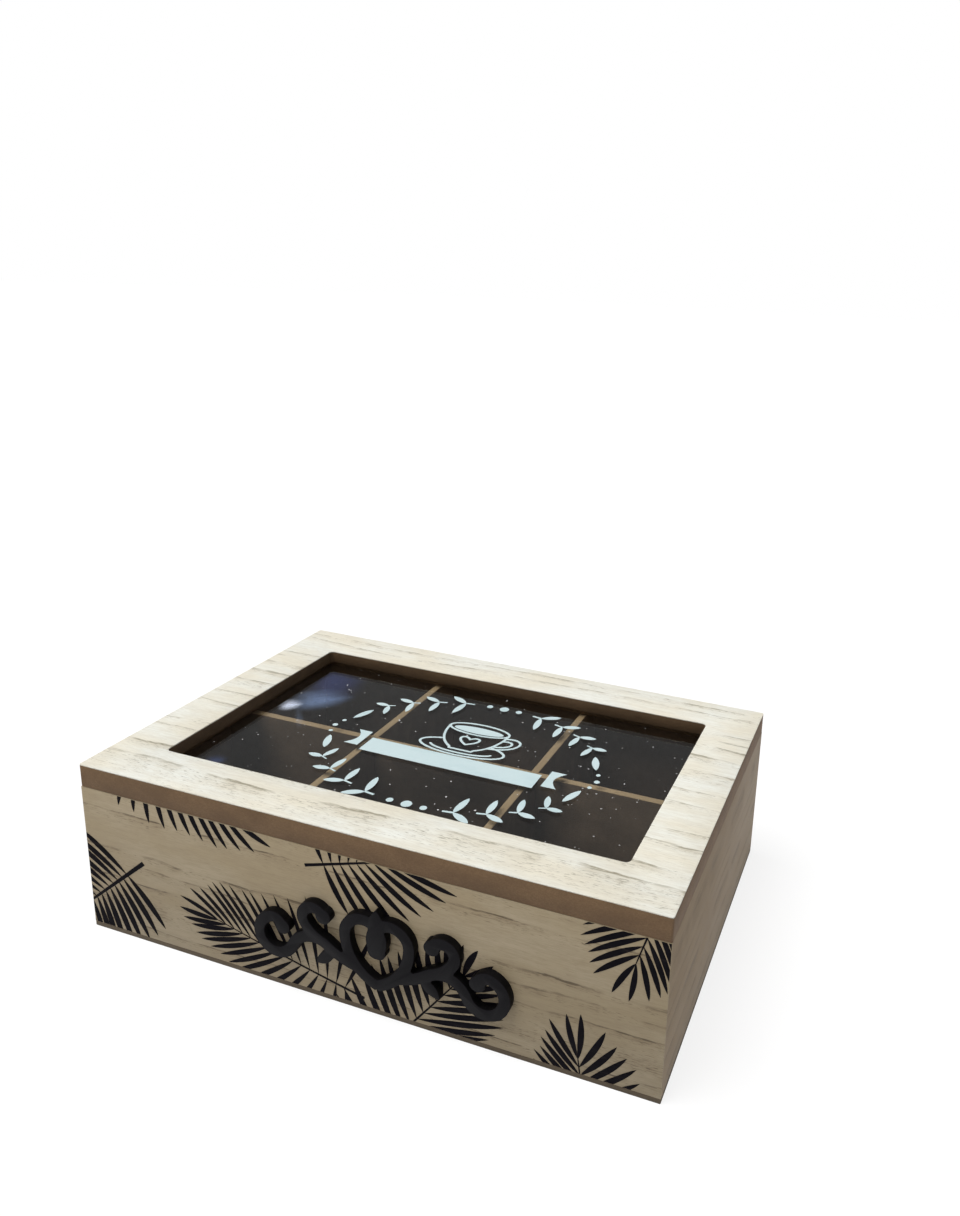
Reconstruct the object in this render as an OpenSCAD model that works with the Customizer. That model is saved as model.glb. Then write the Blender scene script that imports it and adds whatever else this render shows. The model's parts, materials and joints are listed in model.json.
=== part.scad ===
// Tea bag organizer box: a veneered MDF case with six compartments and a
// hinged lid that frames a glass pane.
//
// Millimetres, +Z up. The origin is the middle of the box's underside, +X runs
// to the box's right-hand side and +Y to its back, where the hinges are.

/* [Box] */
// Overall width, left to right
box_w = 230; // [190:1:300]
// Overall depth, front to back
box_d = 150; // [120:1:220]
// Overall height with the lid closed
box_h = 70; // [55:1:110]
// Thickness of the veneer on the walls and the lid
veneer_t = 0.5; // [0.3:0.1:0.8]

/* [Case] */
// Thickness of the four walls, without veneer
wall_t = 6; // [5:0.5:9]
// Thickness of the lip that laps over the end of a side wall
corner_lap = 3; // [2:0.5:3.5]
// Thickness of the bottom board, planted under the walls
bottom_t = 2; // [1.5:0.5:4]

/* [Dividers] */
// Thickness of the dividers
divider_t = 3; // [2:0.5:4]
// Distance from the top of the walls down to the top of the dividers
divider_drop = 0.5; // [0.2:0.1:8]
// Depth of the grooves that house the ends of the dividers
groove_d = 1.5; // [1:0.1:2.5]
// Share of the divider height cut from the long divider at each cross lap
lap_share = 0.5; // [0.3:0.05:0.7]

/* [Lid] */
// Thickness of the lid with its veneer
lid_h = 9; // [8.5:0.5:14]
// Width of the frame around the window
rail_w = 21; // [17:1:35]
// Radius of the window's corners
window_r = 2; // [0.5:0.5:10]
// Radius of the lid's upright corners
corner_r = 0.8; // [0.5:0.1:3]
// Thickness of the glass
glass_t = 2; // [1.8:0.1:2.5]
// Depth of the glass below the top of the lid
glass_drop = 5.5; // [4:0.1:6]
// Width of the rabbet that takes the glass
rabbet_w = 6; // [4.5:0.5:9]
// Radius that the cutter leaves in the rabbet's corners
rabbet_r = 4; // [3:0.5:6]
// Width of the strips that hold the glass in
bead_w = 4; // [2.5:0.5:4.5]

/* [Hinges] */
// Distance from the middle of the box to the middle of each hinge
hinge_x = 68; // [54:1:78]
// Length of a hinge along its pin
hinge_w = 18; // [15:1:30]
// Thickness of the hinge leaves
leaf_t = 0.8; // [0.6:0.1:1]
// Bare strip left on the edge of the lid above a leaf
leaf_margin = 0.8; // [0.5:0.1:1.5]
// Radius of a hinge pin
pin_r = 0.8; // [0.6:0.05:1]
// Wall of the knuckles around the pin
knuckle_wall = 0.75; // [0.6:0.05:0.9]
// Radius of a nail's shank
nail_r = 0.5; // [0.4:0.05:0.6]
// Length of a nail below its head
nail_l = 5; // [3.5:0.5:6]
// Radius of a nail's head
nail_head_r = 1.2; // [1:0.1:1.4]
// Height of a nail's head
nail_head_h = 0.45; // [0.3:0.05:0.6]

/* [Front ornament] */
// Thickness of the cut-out
ornament_t = 3; // [2:0.5:5]
// Width of its strokes
stroke_w = 4.2; // [3.4:0.1:4.6]
// Distance of its middle to the right of the middle of the front
ornament_x = 13; // [-20:1:20]
// Distance of its middle below the middle of the front wall
ornament_drop = 2.4; // [-4:0.1:4]
// Distance from its middle down to the foot of the heart
foot_drop = 14; // [12:0.5:15]
// Radius of the heart's sides
side_r = 19; // [17.5:0.5:20.5]
// Radius of the heart's lobes
lobe_r = 7.2; // [6.8:0.1:7.8]
// Radius of the rise of an arm, away from the heart
arm_r = 29; // [25:1:32]
// Radius of the arch of an arm
arch_r = 9.6; // [9:0.1:10.5]
// Radius of the volute that ends an arm
volute_r = 7.2; // [6.8:0.1:7.8]
// Radius of the eye of a volute
eye_r = 3.8; // [3.5:0.1:4.2]
// Radius of the curl that stands on an arm
curl_r = 4.5; // [4.2:0.1:5]
// Radius of the stem that leads to the curl
stem_r = 13.5; // [12:0.5:15]
// Radius of the balls that end the strokes
ball_r = 2.9; // [2.4:0.1:3.2]
// Length of the leaf between the lobes of the heart
bud_l = 12.5; // [10:0.5:14]
// Length of the leaf that hangs from an arm
leaf_l = 9.5; // [7:0.5:11]
// Radius of the crotches where strokes meet
crotch_r = 0.8; // [0.3:0.1:1.2]

/* [Clearances] */
// Gap between the case and the closed lid
seam_gap = 0.2; // [0.1:0.05:0.5]
// Gap on each side of a divider in its grooves and laps
divider_gap = 0.1; // [0.05:0.05:0.3]
// Gap around the glass and its strips in the rabbet
glass_gap = 0.4; // [0.2:0.1:0.8]
// Running gap between a pin and the bore of a knuckle
pin_gap = 0.05; // [0.02:0.01:0.1]
// Gap between neighbouring knuckles and between a barrel and the box
knuckle_gap = 0.15; // [0.1:0.05:0.3]
// Gap around a nail in its hole
nail_gap = 0.03; // [0.02:0.01:0.1]

/* [Hidden] */
$fn = 64;

// Levels, from the underside up
lid_z = box_h - lid_h;
case_z = lid_z - seam_gap;
axis_z = lid_z - seam_gap / 2;
wall_h = case_z - bottom_t;
divider_h = wall_h - divider_drop;
lap_h = divider_h * lap_share;
board_z = box_h - veneer_t;
glass_z = box_h - glass_drop - glass_t;
bead_t = glass_z - lid_z;

// Plan of the case
core_w = box_w - 2 * veneer_t;
core_d = box_d - 2 * veneer_t;
room_w = core_w - 2 * wall_t;
room_d = core_d - 2 * wall_t;
lap_depth = wall_t - corner_lap;
groove_w = divider_t + 2 * divider_gap;
// Reach of a divider into its groove, which leaves the same gap at its end
tenon_l = groove_d - divider_gap;
// Place of the middle of a cross divider, so that the three columns are equal
cross_x = (room_w + divider_t) / 6;

// Plan of the lid
window_w = box_w - 2 * rail_w;
window_d = box_d - 2 * rail_w;
rabbet_l = window_w + 2 * rabbet_w;
rabbet_d = window_d + 2 * rabbet_w;
pane_w = rabbet_l - 2 * glass_gap;
pane_d = rabbet_d - 2 * glass_gap;
pane_r = rabbet_r - glass_gap;

// Hinges
bore_r = pin_r + pin_gap;
barrel_r = bore_r + knuckle_wall;
axis_y = box_d / 2 + barrel_r + knuckle_gap;
knuckle_w = hinge_w / 3;
leaf_h = board_z - leaf_margin - axis_z;
// Height above the axis at which a leaf is clear of the other leaf's knuckle
leaf_clear = barrel_r + knuckle_gap;
nail_z = (leaf_h + leaf_clear) / 2;
nail_x = hinge_w / 3;
pin_head_r = (pin_r + barrel_r) / 2;
pin_head_h = 0.4;
HINGES = [-hinge_x, hinge_x];

// Front ornament: its height, and the angles that its arcs turn through
ornament_z = bottom_t + wall_h / 2 - ornament_drop;
heart_rise = 20;
lobe_turn = 215;
flank_turn = 28;
arm_rise = 10;
arm_turn = 26;
leaf_turn = 19.5;
arch_turn = 104;
volute_turn = 232;
eye_turn = 95;
crotch_turn = 16;
stem_turn = 40;
curl_turn = 185;
leaf_angle = 70;
// Width of a leaf for each unit of its length
leaf_share = 0.46;
// Largest angle between the points of an arc
arc_step = 6;

// Small overlap that carries a cut through a face
cut = 1;

// ---------- shared shapes ----------

// Flat rectangle with round corners, centred
module rounded_rect(w, d, r) {
    square([w - 2 * r, d], center = true);
    square([w, d - 2 * r], center = true);
    for (x = [-1, 1], y = [-1, 1])
        translate([x * (w / 2 - r), y * (d / 2 - r)])
            circle(r);
}

// Block centred in plan, standing on height z
module block(w, d, h, z = 0) {
    translate([-w / 2, -d / 2, z])
        cube([w, d, h]);
}

// ---------- case ----------

module bottom_panel() {
    color("#8a6a4c")
        block(box_w, box_d, bottom_t);
}

// Wall at the back; the front one is its mirror image without nail holes
module long_wall() {
    difference() {
        translate([-core_w / 2, room_d / 2, bottom_t])
            cube([core_w, wall_t, wall_h]);
        // Rabbets that take the side walls
        for (s = [-1, 1])
            translate([s * (room_w / 2 + wall_t / 2), room_d / 2 + lap_depth / 2 - cut / 2, bottom_t - cut])
                linear_extrude(wall_h + 2 * cut)
                    square([wall_t, lap_depth + cut], center = true);
        // Grooves that house the cross dividers
        for (s = [-1, 1])
            translate([s * cross_x, room_d / 2 + groove_d / 2 - cut / 2, bottom_t - cut])
                linear_extrude(wall_h + 2 * cut)
                    square([groove_w, groove_d + cut], center = true);
    }
}

module front_panel() {
    color("#5a4636")
        mirror([0, 1, 0])
            long_wall();
}

module back_panel() {
    color("#5a4636")
        difference() {
            long_wall();
            nail_holes(-1);
        }
}

// Wall on the right; the left one is its mirror image
module side_wall() {
    difference() {
        translate([room_w / 2, -room_d / 2 - lap_depth, bottom_t])
            cube([wall_t, room_d + 2 * lap_depth, wall_h]);
        // Groove that houses the long divider
        translate([room_w / 2 - cut, -groove_w / 2, bottom_t - cut])
            cube([groove_d + cut, groove_w, wall_h + 2 * cut]);
    }
}

module right_panel() {
    color("#5a4636")
        side_wall();
}

module left_panel() {
    color("#5a4636")
        mirror([1, 0, 0])
            side_wall();
}

// Skin on the back wall, as wide as the box
module long_skin() {
    translate([-box_w / 2, core_d / 2, bottom_t])
        cube([box_w, veneer_t, wall_h]);
}

module front_veneer() {
    color("#a89a7e")
        mirror([0, 1, 0])
            long_skin();
}

module back_veneer() {
    color("#a89a7e")
        difference() {
            long_skin();
            nail_holes(-1);
        }
}

// Skin on a side wall, between the long skins
module side_skin(side) {
    color("#a89a7e")
        translate([side * (core_w + veneer_t) / 2, 0, 0])
            block(veneer_t, core_d, wall_h, bottom_t);
}

module left_veneer() {
    side_skin(-1);
}

module right_veneer() {
    side_skin(1);
}

// ---------- dividers ----------

// Runs left to right; the cross dividers drop into its open laps
module long_divider() {
    color("#a3835f")
        difference() {
            block(room_w + 2 * tenon_l, divider_t, divider_h, bottom_t);
            for (s = [-1, 1])
                translate([s * cross_x, 0, 0])
                    block(groove_w, divider_t + 2 * cut, lap_h + cut, bottom_t + divider_h - lap_h);
        }
}

// Runs front to back and bridges the long divider
module cross_divider(side) {
    color("#a3835f")
        translate([side * cross_x, 0, 0])
            difference() {
                block(divider_t, room_d + 2 * tenon_l, divider_h, bottom_t);
                block(divider_t + 2 * cut, groove_w, divider_h - lap_h + divider_gap + cut, bottom_t - cut);
            }
}

module left_cross_divider() {
    cross_divider(-1);
}

module right_cross_divider() {
    cross_divider(1);
}

// ---------- front ornament ----------

// The scroll work is drawn flat. A stroke is a chain of arcs. A pose is
// [x, y, heading]; an arc is [radius, angle], and a negative radius turns right.
function heading_after(p, a) = p[2] + sign(a[0]) * a[1];
function arc_centre(p, a) = [p[0] - a[0] * sin(p[2]), p[1] + a[0] * cos(p[2])];
function pose_after(p, a) =
    let (c = arc_centre(p, a), h = heading_after(p, a))
    [c[0] + a[0] * sin(h), c[1] - a[0] * cos(h), h];
// Pose after the first n arcs of a chain
function pose_at(p, arcs, n) = n == 0 ? p : pose_after(pose_at(p, arcs, n - 1), arcs[n - 1]);

// One arc of a stroke, as a flat band
module arc_band(p, a) {
    c = arc_centre(p, a);
    start = a[0] > 0 ? p[2] - 90 : p[2] + 90 - a[1];
    steps = ceil(a[1] / arc_step);
    spokes = [for (i = [0:steps]) [cos(start + a[1] * i / steps), sin(start + a[1] * i / steps)]];
    outside = [for (i = [0:steps]) c + (abs(a[0]) + stroke_w / 2) * spokes[i]];
    inside = [for (i = [steps:-1:0]) c + (abs(a[0]) - stroke_w / 2) * spokes[i]];
    polygon(concat(outside, inside));
}

// A whole chain of arcs with a ball at its end
module stroke(p, arcs) {
    for (i = [0:len(arcs) - 1])
        arc_band(pose_at(p, arcs, i), arcs[i]);
    tip = pose_at(p, arcs, len(arcs));
    translate([tip[0], tip[1]])
        circle(ball_r);
}

// Pointed leaf from the origin along +X: the overlap of two circles
module leaf(length) {
    width = length * leaf_share;
    r = (length * length + width * width) / (4 * width);
    translate([length / 2, 0])
        intersection() {
            translate([0, r - width / 2])
                circle(r);
            translate([0, width / 2 - r])
                circle(r);
        }
}

// Right half of the scroll work: half a heart, and an arm with a leaf and a curl
module half_scroll() {
    foot = [0, -foot_drop, heart_rise];
    stroke(foot, [[side_r, 90 - heart_rise], [lobe_r, lobe_turn]]);
    flank = pose_after(foot, [side_r, flank_turn]);
    arm = [flank[0], flank[1], arm_rise];
    rise = [arm_r, arm_turn];
    stroke(arm, [rise, [-arch_r, arch_turn], [volute_r, volute_turn], [eye_r, eye_turn]]);
    crotch = pose_after(pose_after(arm, rise), [-arch_r, crotch_turn]);
    stroke(crotch, [[stem_r, stem_turn], [curl_r, curl_turn]]);
    joint = pose_after(arm, [arm_r, leaf_turn]);
    translate([joint[0], joint[1]])
        rotate(joint[2] - leaf_angle)
            leaf(leaf_l);
}

// The whole outline; the two offsets round the crotches between its strokes
module scroll_outline() {
    offset(r = -crotch_r)
        offset(r = crotch_r) {
            half_scroll();
            mirror([1, 0])
                half_scroll();
            rotate(90)
                translate([lobe_r / 2, 0])
                    leaf(bud_l);
        }
}

module front_ornament() {
    color("#2b2b2f")
        translate([ornament_x, -box_d / 2, ornament_z])
            rotate([90, 0, 0])
                linear_extrude(ornament_t)
                    scroll_outline($fn = 40);
}

// ---------- lid ----------

module lid_frame() {
    color("#8a6a4c")
        difference() {
            translate([0, 0, lid_z])
                linear_extrude(board_z - lid_z)
                    rounded_rect(box_w, box_d, corner_r);
            translate([0, 0, lid_z - cut])
                linear_extrude(lid_h + 2 * cut)
                    rounded_rect(window_w, window_d, window_r);
            translate([0, 0, lid_z - cut])
                linear_extrude(bead_t + glass_t + cut)
                    rounded_rect(rabbet_l, rabbet_d, rabbet_r);
            nail_holes(1);
        }
}

module lid_veneer() {
    color("#e6e0cd")
        translate([0, 0, board_z])
            difference() {
                linear_extrude(veneer_t)
                    rounded_rect(box_w, box_d, corner_r);
                translate([0, 0, -cut])
                    linear_extrude(veneer_t + 2 * cut)
                        rounded_rect(window_w, window_d, window_r);
            }
}

module glass_pane() {
    color("#cfe3df", 0.35)
        translate([0, 0, glass_z])
            linear_extrude(glass_t)
                rounded_rect(pane_w, pane_d, pane_r);
}

// Strip along the back edge of the glass, following the rabbet's corners
module long_bead() {
    color("#8a6a4c")
        translate([0, 0, lid_z])
            linear_extrude(bead_t)
                intersection() {
                    rounded_rect(pane_w, pane_d, pane_r);
                    translate([0, (pane_d - bead_w) / 2])
                        square([pane_w, bead_w], center = true);
                }
}

// Strip along a side edge of the glass, between the long ones
module side_bead(side) {
    color("#8a6a4c")
        translate([side * (pane_w - bead_w) / 2, 0, 0])
            block(bead_w, pane_d - 2 * bead_w, bead_t, lid_z);
}

module back_glass_bead() {
    long_bead();
}

module front_glass_bead() {
    mirror([0, 1, 0])
        long_bead();
}

module left_glass_bead() {
    side_bead(-1);
}

module right_glass_bead() {
    side_bead(1);
}

// ---------- hinges ----------

// Cylinder along +X, centred on the axis line of a hinge
module along_axis(r, l) {
    rotate([0, 90, 0])
        cylinder(r = r, h = l, center = true);
}

// Leaf that stands up from the axis, with a knuckle at each x of the list
module leaf_with_knuckles(knuckles) {
    back = box_d / 2 - axis_y;
    difference() {
        union() {
            translate([-hinge_w / 2, back, leaf_clear])
                cube([hinge_w, leaf_t, leaf_h - leaf_clear]);
            for (x = knuckles) {
                translate([x - (knuckle_w - knuckle_gap) / 2, back, 0])
                    cube([knuckle_w - knuckle_gap, leaf_t, leaf_h / 2]);
                translate([x, 0, 0])
                    along_axis(barrel_r, knuckle_w - knuckle_gap);
            }
        }
        along_axis(bore_r, hinge_w + 2 * cut);
        for (s = [-1, 1])
            translate([s * nail_x, back - cut, nail_z])
                rotate([-90, 0, 0])
                    cylinder(r = nail_r + nail_gap, h = leaf_t + 2 * cut);
    }
}

module lid_leaf(x) {
    color("#b08d4a")
        translate([x, axis_y, axis_z])
            leaf_with_knuckles([0]);
}

module case_leaf(x) {
    color("#b08d4a")
        translate([x, axis_y, axis_z])
            mirror([0, 0, 1])
                leaf_with_knuckles([-knuckle_w, knuckle_w]);
}

module hinge_pin(x) {
    color("#b08d4a")
        translate([x, axis_y, axis_z]) {
            along_axis(pin_r, hinge_w);
            for (s = [-1, 1])
                translate([s * (hinge_w + pin_head_h) / 2, 0, 0])
                    along_axis(pin_head_r, pin_head_h);
        }
}

module left_hinge_case_leaf() {
    case_leaf(-hinge_x);
}

module right_hinge_case_leaf() {
    case_leaf(hinge_x);
}

module left_hinge_lid_leaf() {
    lid_leaf(-hinge_x);
}

module right_hinge_lid_leaf() {
    lid_leaf(hinge_x);
}

module left_hinge_pin() {
    hinge_pin(-hinge_x);
}

module right_hinge_pin() {
    hinge_pin(hinge_x);
}

// Places its children at each nail, pointing out of the back;
// side is 1 for the lid and -1 for the case
module at_nails(side) {
    for (x = HINGES, s = [-1, 1])
        translate([x + s * nail_x, box_d / 2 + leaf_t, axis_z + side * nail_z])
            rotate([-90, 0, 0])
                children();
}

module nail_holes(side) {
    at_nails(side)
        translate([0, 0, -nail_l - nail_gap])
            cylinder(r = nail_r + nail_gap, h = nail_l + nail_gap + cut);
}

// Round-headed nail; its head is a cap of a ball
module nail() {
    dome_r = (nail_head_r * nail_head_r + nail_head_h * nail_head_h) / (2 * nail_head_h);
    translate([0, 0, -nail_l])
        cylinder(r = nail_r, h = nail_l);
    intersection() {
        translate([0, 0, nail_head_h - dome_r])
            sphere(dome_r);
        cylinder(r = nail_head_r + cut, h = nail_head_h + cut);
    }
}

module hinge_case_nails() {
    color("#b08d4a")
        at_nails(-1)
            nail();
}

module hinge_lid_nails() {
    color("#b08d4a")
        at_nails(1)
            nail();
}

bottom_panel();
front_panel();
back_panel();
left_panel();
right_panel();
front_veneer();
back_veneer();
left_veneer();
right_veneer();
long_divider();
left_cross_divider();
right_cross_divider();
front_ornament();
left_hinge_case_leaf();
right_hinge_case_leaf();
left_hinge_pin();
right_hinge_pin();
hinge_case_nails();
lid_frame();
lid_veneer();
glass_pane();
front_glass_bead();
back_glass_bead();
left_glass_bead();
right_glass_bead();
left_hinge_lid_leaf();
right_hinge_lid_leaf();
hinge_lid_nails();
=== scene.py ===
"""Looks of a veneered tea box: a printed case with six compartments and a hinged lid with a glass.

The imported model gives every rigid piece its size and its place. Here the edges of those pieces are
eased, each piece gets its finish, and what is thinner than a saw cut is added: the frond print on
the front, the line print on the glass and the dust on it.

Lengths are metres. MM turns a workshop size in millimetres into metres, and a flat drawing is
kept in millimetres until it is laid on its board.
"""

import json
import logging
import math
from collections.abc import Callable, Iterable
from dataclasses import asdict, dataclass, field, replace
from enum import Enum
from functools import cache

import bmesh
import bpy
from mathutils import Matrix, Vector
from mathutils.geometry import delaunay_2d_cdt

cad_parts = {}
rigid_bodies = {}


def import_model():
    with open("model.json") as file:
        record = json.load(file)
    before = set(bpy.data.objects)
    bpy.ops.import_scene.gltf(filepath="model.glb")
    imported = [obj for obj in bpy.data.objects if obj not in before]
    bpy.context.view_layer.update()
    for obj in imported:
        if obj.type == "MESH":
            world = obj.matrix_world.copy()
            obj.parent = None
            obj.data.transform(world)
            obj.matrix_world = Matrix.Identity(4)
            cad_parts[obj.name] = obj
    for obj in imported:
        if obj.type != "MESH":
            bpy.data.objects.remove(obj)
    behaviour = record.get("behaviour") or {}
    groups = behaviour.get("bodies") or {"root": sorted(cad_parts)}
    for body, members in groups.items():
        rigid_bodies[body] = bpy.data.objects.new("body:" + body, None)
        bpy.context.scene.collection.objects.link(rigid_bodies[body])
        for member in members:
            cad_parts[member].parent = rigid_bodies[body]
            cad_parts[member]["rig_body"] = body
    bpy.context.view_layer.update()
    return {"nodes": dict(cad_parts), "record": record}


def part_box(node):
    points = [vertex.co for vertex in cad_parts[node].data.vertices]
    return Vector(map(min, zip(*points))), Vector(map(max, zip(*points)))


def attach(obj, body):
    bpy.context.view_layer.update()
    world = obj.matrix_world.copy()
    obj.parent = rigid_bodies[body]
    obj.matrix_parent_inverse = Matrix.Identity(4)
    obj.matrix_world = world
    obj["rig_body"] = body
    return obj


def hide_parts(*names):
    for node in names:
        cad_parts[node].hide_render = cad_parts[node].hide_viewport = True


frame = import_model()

MM = 0.001
SHARP = math.radians(30)
FLAT = math.radians(0.3)
WELD = 0.001 * MM
WHITE = (1.0, 1.0, 1.0, 1.0)
log = logging.getLogger("tea_box")

Point = tuple[float, float]
Triple = tuple[float, float, float]
Shape = list[Point]
Lay = Callable[[float, float, float], Vector]


# ---------------------------------------------------------------- colours and nodes


@dataclass(frozen=True)
class Shade:
    """A colour as on a paint card: red, green and blue from 0 to 255."""

    red: int
    green: int
    blue: int

    def linear(self) -> tuple[float, float, float, float]:
        """Works the colour out as linear light.

        Returns:
            Its red, green and blue from 0 to 1, and full alpha.
        """
        parts = [c / 255 for c in (self.red, self.green, self.blue)]
        light = [p / 12.92 if p <= 0.04045 else ((p + 0.055) / 1.055) ** 2.4 for p in parts]
        return (*light, 1.0)


class Grain(Enum):
    """The way the fibres of a board run, as the axes along, across and through it."""

    LENGTHWISE_FLAT = ("X", "Y", "Z")
    LENGTHWISE_UPRIGHT = ("X", "Z", "Y")
    DEPTHWISE_UPRIGHT = ("Y", "Z", "X")


@dataclass(frozen=True)
class Signal:
    """What comes out of a node. Reckoning with it adds the Math nodes that do so."""

    w: "Wiring"
    socket: bpy.types.NodeSocket

    def __add__(self, other: "Feed") -> "Signal":
        """Returns the sum."""
        return self.w.maths("ADD", self, other)

    def __sub__(self, other: "Feed") -> "Signal":
        """Returns the difference."""
        return self.w.maths("SUBTRACT", self, other)

    def __rsub__(self, other: "Feed") -> "Signal":
        """Returns a plain value less this one."""
        return self.w.maths("SUBTRACT", other, self)

    def __mul__(self, other: "Feed") -> "Signal":
        """Returns the product."""
        return self.w.maths("MULTIPLY", self, other)

    def __truediv__(self, other: "Feed") -> "Signal":
        """Returns the quotient."""
        return self.w.maths("DIVIDE", self, other)

    def __pow__(self, other: "Feed") -> "Signal":
        """Returns the power."""
        return self.w.maths("POWER", self, other)


Feed = Signal | Shade | float | int | tuple
Look = tuple[Feed, Feed, Signal | None]


def spoken(name: str) -> str:
    """Returns a name of the script as a socket shows it: ring_spacing is Ring Spacing."""
    return name.replace("_", " ").title()


@dataclass(frozen=True)
class Wiring:
    """A node tree in the making, with short calls for the nodes that come often."""

    tree: bpy.types.NodeTree

    def feed(self, socket: bpy.types.NodeSocket, value: Feed) -> None:
        """Links an input to a signal, or sets it to a plain value.

        Args:
            socket: the input.
            value: what goes into it.
        """
        if isinstance(value, Signal):
            self.tree.links.new(value.socket, socket)
        else:
            socket.default_value = value.linear() if isinstance(value, Shade) else value

    def add(self, kind: str, feeds: dict[str | int, Feed] | None = None,
            **options: object) -> bpy.types.Node:
        """Adds a node.

        Args:
            kind: the node's type.
            feeds: what goes into its inputs, by name or by number.
            options: settings of the node.

        Returns:
            The new node.
        """
        node = self.tree.nodes.new(kind)
        for option, value in options.items():
            setattr(node, option, value)
        for key, value in (feeds or {}).items():
            self.feed(node.inputs[key], value)
        return node

    def out(self, kind: str, feeds: dict[str | int, Feed] | None = None, output: str | int = 0,
            **options: object) -> Signal:
        """Adds a node and returns one of its outputs, the first unless another is asked for."""
        return Signal(self, self.add(kind, feeds, **options).outputs[output])

    def outs(self, kind: str, feeds: dict[str | int, Feed] | None = None,
             **options: object) -> dict[str, Signal]:
        """Adds a node and returns its outputs by name."""
        return {socket.name: Signal(self, socket) for socket in self.add(kind, feeds, **options).outputs}

    def maths(self, operation: str, *values: Feed) -> Signal:
        """Adds a Math node, or a Vector Math node if a value is a vector.

        Args:
            operation: what the node does.
            values: what goes into it, in order.

        Returns:
            Its result.
        """
        flat = not any(isinstance(v, Signal) and v.socket.type == "VECTOR" for v in values)
        kind = "ShaderNodeMath" if flat else "ShaderNodeVectorMath"
        return self.out(kind, dict(enumerate(values)), operation=operation)

    def split(self, vector: Signal) -> tuple[Signal, ...]:
        """Returns the three parts of a vector."""
        return tuple(self.outs("ShaderNodeSeparateXYZ", {0: vector}).values())

    def join(self, x: Feed = 0.0, y: Feed = 0.0, z: Feed = 0.0) -> Signal:
        """Returns a vector with these three parts."""
        return self.out("ShaderNodeCombineXYZ", {0: x, 1: y, 2: z})

    def ramp(self, value: Feed, low: float, high: float, start: float = 0.0, end: float = 1.0) -> Signal:
        """Returns a value that eases from start to end as the input goes from low to high."""
        feeds = {0: value, 1: low, 2: high, 3: start, 4: end}
        return self.out("ShaderNodeMapRange", feeds, interpolation_type="SMOOTHSTEP")

    def band(self, value: Feed, rise: Point, fall: Point) -> Signal:
        """Returns a value that eases up to 1 over the rise and back to 0 over the fall."""
        return self.ramp(value, *rise) * self.ramp(value, *fall, 1.0, 0.0)

    def noise(self, place: Signal, stretch: Triple, detail: float = 2.0, roughness: float = 0.5) -> Signal:
        """Returns cloudy noise.

        Args:
            place: the point, in millimetres along, across and through the board.
            stretch: the size of a cloud in each of those directions.
            detail: how many finer layers it has.
            roughness: how strong the finer layers are.

        Returns:
            The noise, from 0 to 1 around a half.
        """
        scaled = place * tuple(1 / s for s in stretch)
        feeds = {"Vector": scaled, "Scale": 1.0, "Detail": detail, "Roughness": roughness}
        return self.out("ShaderNodeTexNoise", feeds, "Fac")

    def mix(self, share: Feed, first: Feed, second: Feed) -> Signal:
        """Returns two colours mixed by a share of the second."""
        return self.out("ShaderNodeMix", {0: share, 6: first, 7: second}, 2, data_type="RGBA")

    def group(self, tree: bpy.types.NodeTree, **feeds: Feed) -> dict[str, Signal]:
        """Places a node group, feeds its inputs and returns its outputs by name."""
        kind = tree.bl_idname.replace("NodeTree", "NodeGroup")
        return self.outs(kind, {spoken(n): f for n, f in feeds.items()}, node_tree=tree)

    def given(self) -> dict[str, Signal]:
        """Returns what a group is given, by the name of the input."""
        return self.outs("NodeGroupInput")

    def give(self, **feeds: Feed) -> bpy.types.NodeTree:
        """Feeds a group's outputs by name and returns its tree."""
        self.add("NodeGroupOutput", {spoken(name): value for name, value in feeds.items()})
        return self.tree


def new_tree(name: str, kind: str, inputs: dict[str, str | float | int], outputs: Iterable[str]) -> Wiring:
    """Starts a node group with named inputs and outputs.

    Args:
        name: the group's name.
        kind: "Shader" or "Geometry".
        inputs: its inputs, each with the kind of its socket or the number that it starts at.
        outputs: its outputs, numbers in a shader group and geometry in a geometry group.

    Returns:
        The wiring of the new group.
    """
    tree = bpy.data.node_groups.new(name, kind + "NodeTree")
    for port, value in inputs.items():
        sort = value if isinstance(value, str) else type(value).__name__.title()
        socket = tree.interface.new_socket(port, in_out="INPUT", socket_type="NodeSocket" + sort)
        if not isinstance(value, str):
            socket.default_value = value
    for port in outputs:
        sort = "Float" if kind == "Shader" else kind
        tree.interface.new_socket(port, in_out="OUTPUT", socket_type="NodeSocket" + sort)
    return Wiring(tree)


def bare(owner: bpy.types.Material | bpy.types.World) -> Wiring:
    """Clears away the nodes of a material or a world.

    Args:
        owner: the material or the world.

    Returns:
        Its wiring.
    """
    owner.use_nodes = True
    owner.node_tree.nodes.clear()
    return Wiring(owner.node_tree)


def new_material(name: str, surface: Callable[[Wiring], Signal]) -> bpy.types.Material:
    """Builds a material.

    Args:
        name: the material's name.
        surface: wires its shader and returns it.

    Returns:
        The new material.
    """
    made = bpy.data.materials.new(name)
    w = bare(made)
    w.add("ShaderNodeOutputMaterial", {"Surface": surface(w)})
    return made


# ---------------------------------------------------------------- effects that finishes share


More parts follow.
